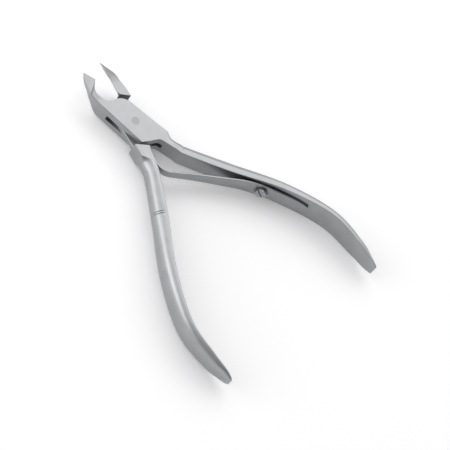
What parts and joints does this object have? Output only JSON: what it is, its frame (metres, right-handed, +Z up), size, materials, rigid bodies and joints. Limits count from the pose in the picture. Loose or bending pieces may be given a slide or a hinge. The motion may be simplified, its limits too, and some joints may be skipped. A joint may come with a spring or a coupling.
{
  "type": "cuticle nipper",
  "caption": "Satin steel cuticle nipper with a box joint, a riveted pivot, curved D-section handles and a leaf spring held by a slotted screw.",
  "frame": {"origin": "on the pivot axis, in the plane of the underside of the box joint", "axes": "+Z up along the pivot; +X from the pivot to the jaws, along the line midway between the levers; +Y to the side of the box lever's jaw and the tenon lever's handle"},
  "size_m": [0.1038, 0.07, 0.01],
  "materials": {
    "lever_steel": "fine satin, blasted and brushed",
    "rivet_steel": "ground flush",
    "spring_steel": "satin along the leaf",
    "screw_steel": "turned, with a worn slot"
  },
  "bodies": {
    "box_half": {"box_lever": "lever_steel", "pivot_rivet": "rivet_steel", "spring_screw": "screw_steel"},
    "tenon_half": {"tenon_lever": "lever_steel"},
    "leaf": {"leaf_spring": "spring_steel"}
  },
  "joints": [
    {"name": "pivot", "type": "hinge", "parent": "box_half", "child": "tenon_half", "pos_m": [0, 0, 0.0034], "axis": [0, 0, 1], "range_deg": [0, 16.65], "stiffness_Nm_per_rad": 0.8},
    {"name": "leaf_flex", "type": "hinge", "parent": "box_half", "child": "leaf", "pos_m": [-0.03596, -0.0167, 0.0042], "axis": [0, 0, 1], "range_deg": [-12.6, 0], "deforming": ["leaf_spring"]}
  ],
  "couplings": [
    {"joint": "leaf_flex", "follows": "pivot", "ratio": -0.75}
  ]
}
